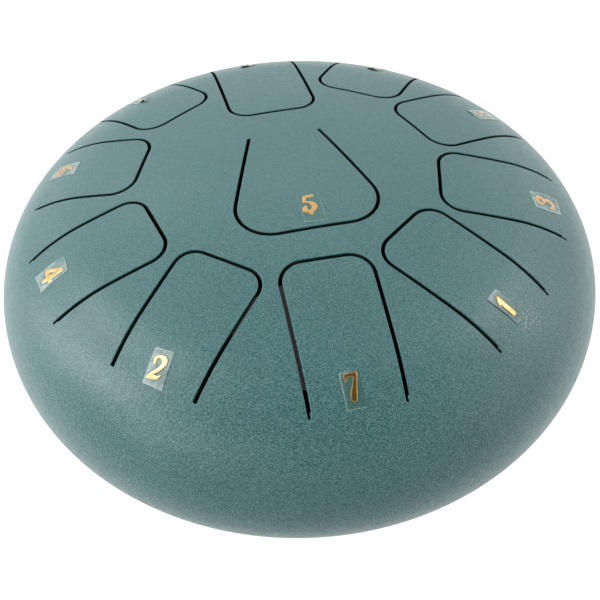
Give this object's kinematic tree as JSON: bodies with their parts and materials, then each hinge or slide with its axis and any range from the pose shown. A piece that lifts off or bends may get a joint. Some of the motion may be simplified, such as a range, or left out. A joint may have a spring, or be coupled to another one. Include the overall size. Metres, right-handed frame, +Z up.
{
  "type": "steel tongue drum",
  "caption": "Round steel tongue drum: two welded dished shells, sprung tongues cut in the top around a middle tongue, numeral stickers, a bottom sound hole and rubber feet.",
  "frame": {"origin": "middle of the footprint on the surface that the rubber feet stand on, on the drum's own axis", "axes": "+Z up along the drum's axis; -Y towards the player, where the low 7 tongue points; +X to the player's right"},
  "size_m": [0.254, 0.254, 0.1181],
  "materials": {
    "teal_paint": "satin orange-peel spray paint, grey-green teal",
    "clear_film": "clear glossy sticker film",
    "gold_foil": "hot-stamped gold foil",
    "black_rubber": "matt moulded rubber",
    "zinc_steel": "bright zinc plate"
  },
  "bodies": {
    "drum": {"upper_shell": "teal_paint", "lower_shell": "teal_paint", "weld_seam": "teal_paint", "foot_front_right": "black_rubber", "foot_back_right": "black_rubber", "foot_back_left": "black_rubber", "foot_front_left": "black_rubber", "foot_inserts": "zinc_steel", "foot_screws": "zinc_steel", "foot_washers": "zinc_steel", "foot_nuts": "zinc_steel"},
    "note_low_5": {"tongue_low_5": "teal_paint", "sticker_low_5": "clear_film", "numeral_low_5": "gold_foil"},
    "note_low_6": {"tongue_low_6": "teal_paint", "sticker_low_6": "clear_film", "numeral_low_6": "gold_foil"},
    "note_low_7": {"tongue_low_7": "teal_paint", "sticker_low_7": "clear_film", "numeral_low_7": "gold_foil"},
    "note_1": {"tongue_1": "teal_paint", "sticker_1": "clear_film", "numeral_1": "gold_foil"},
    "note_2": {"tongue_2": "teal_paint", "sticker_2": "clear_film", "numeral_2": "gold_foil"},
    "note_3": {"tongue_3": "teal_paint", "sticker_3": "clear_film", "numeral_3": "gold_foil"},
    "note_4": {"tongue_4": "teal_paint", "sticker_4": "clear_film", "numeral_4": "gold_foil"},
    "note_5": {"tongue_5": "teal_paint", "sticker_5": "clear_film", "numeral_5": "gold_foil"},
    "note_6": {"tongue_6": "teal_paint", "sticker_6": "clear_film", "numeral_6": "gold_foil"},
    "note_7": {"tongue_7": "teal_paint", "sticker_7": "clear_film", "numeral_7": "gold_foil"},
    "note_high_1": {"tongue_high_1": "teal_paint", "sticker_high_1": "clear_film", "numeral_high_1": "gold_foil"}
  },
  "joints": [
    {"name": "flex_low_5", "type": "hinge", "parent": "drum", "child": "note_low_5", "pos_m": [-0.00505, 0.0217, 0.11657], "axis": [-0.9799, -0.1994, 0], "range_deg": [-0.6, 0.6], "stiffness_Nm_per_rad": 86},
    {"name": "flex_low_6", "type": "hinge", "parent": "drum", "child": "note_low_6", "pos_m": [-0.02286, 0.10286, 0.10106], "axis": [-0.9758, -0.2188, 0], "range_deg": [-0.6, 0.6], "stiffness_Nm_per_rad": 130},
    {"name": "flex_low_7", "type": "hinge", "parent": "drum", "child": "note_low_7", "pos_m": [0.01818, -0.10318, 0.10141], "axis": [0.9844, 0.1759, 0], "range_deg": [-0.6, 0.6], "stiffness_Nm_per_rad": 91},
    {"name": "flex_1", "type": "hinge", "parent": "drum", "child": "note_1", "pos_m": [0.0783, -0.06931, 0.10153], "axis": [0.6613, 0.7501, 0], "range_deg": [-0.6, 0.6], "stiffness_Nm_per_rad": 98},
    {"name": "flex_2", "type": "hinge", "parent": "drum", "child": "note_2", "pos_m": [-0.0485, -0.09185, 0.10192], "axis": [0.8839, -0.4676, 0], "range_deg": [-0.6, 0.6], "stiffness_Nm_per_rad": 91},
    {"name": "flex_3", "type": "hinge", "parent": "drum", "child": "note_3", "pos_m": [0.1055, -0.01001, 0.10069], "axis": [0.0997, 0.995, 0], "range_deg": [-0.6, 0.6], "stiffness_Nm_per_rad": 120},
    {"name": "flex_4", "type": "hinge", "parent": "drum", "child": "note_4", "pos_m": [-0.09505, -0.04907, 0.10007], "axis": [0.4648, -0.8854, 0], "range_deg": [-0.6, 0.6], "stiffness_Nm_per_rad": 120},
    {"name": "flex_5", "type": "hinge", "parent": "drum", "child": "note_5", "pos_m": [0.09072, 0.05399, 0.10094], "axis": [-0.5135, 0.8581, 0], "range_deg": [-0.6, 0.6], "stiffness_Nm_per_rad": 160},
    {"name": "flex_6", "type": "hinge", "parent": "drum", "child": "note_6", "pos_m": [-0.10514, 0.01473, 0.10057], "axis": [-0.1426, -0.9898, 0], "range_deg": [-0.6, 0.6], "stiffness_Nm_per_rad": 140},
    {"name": "flex_7", "type": "hinge", "parent": "drum", "child": "note_7", "pos_m": [0.04287, 0.09625, 0.10106], "axis": [-0.9188, 0.3947, 0], "range_deg": [-0.6, 0.6], "stiffness_Nm_per_rad": 180},
    {"name": "flex_high_1", "type": "hinge", "parent": "drum", "child": "note_high_1", "pos_m": [-0.0777, 0.07199, 0.10072], "axis": [-0.7096, -0.7046, 0], "range_deg": [-0.6, 0.6], "stiffness_Nm_per_rad": 160}
  ]
}
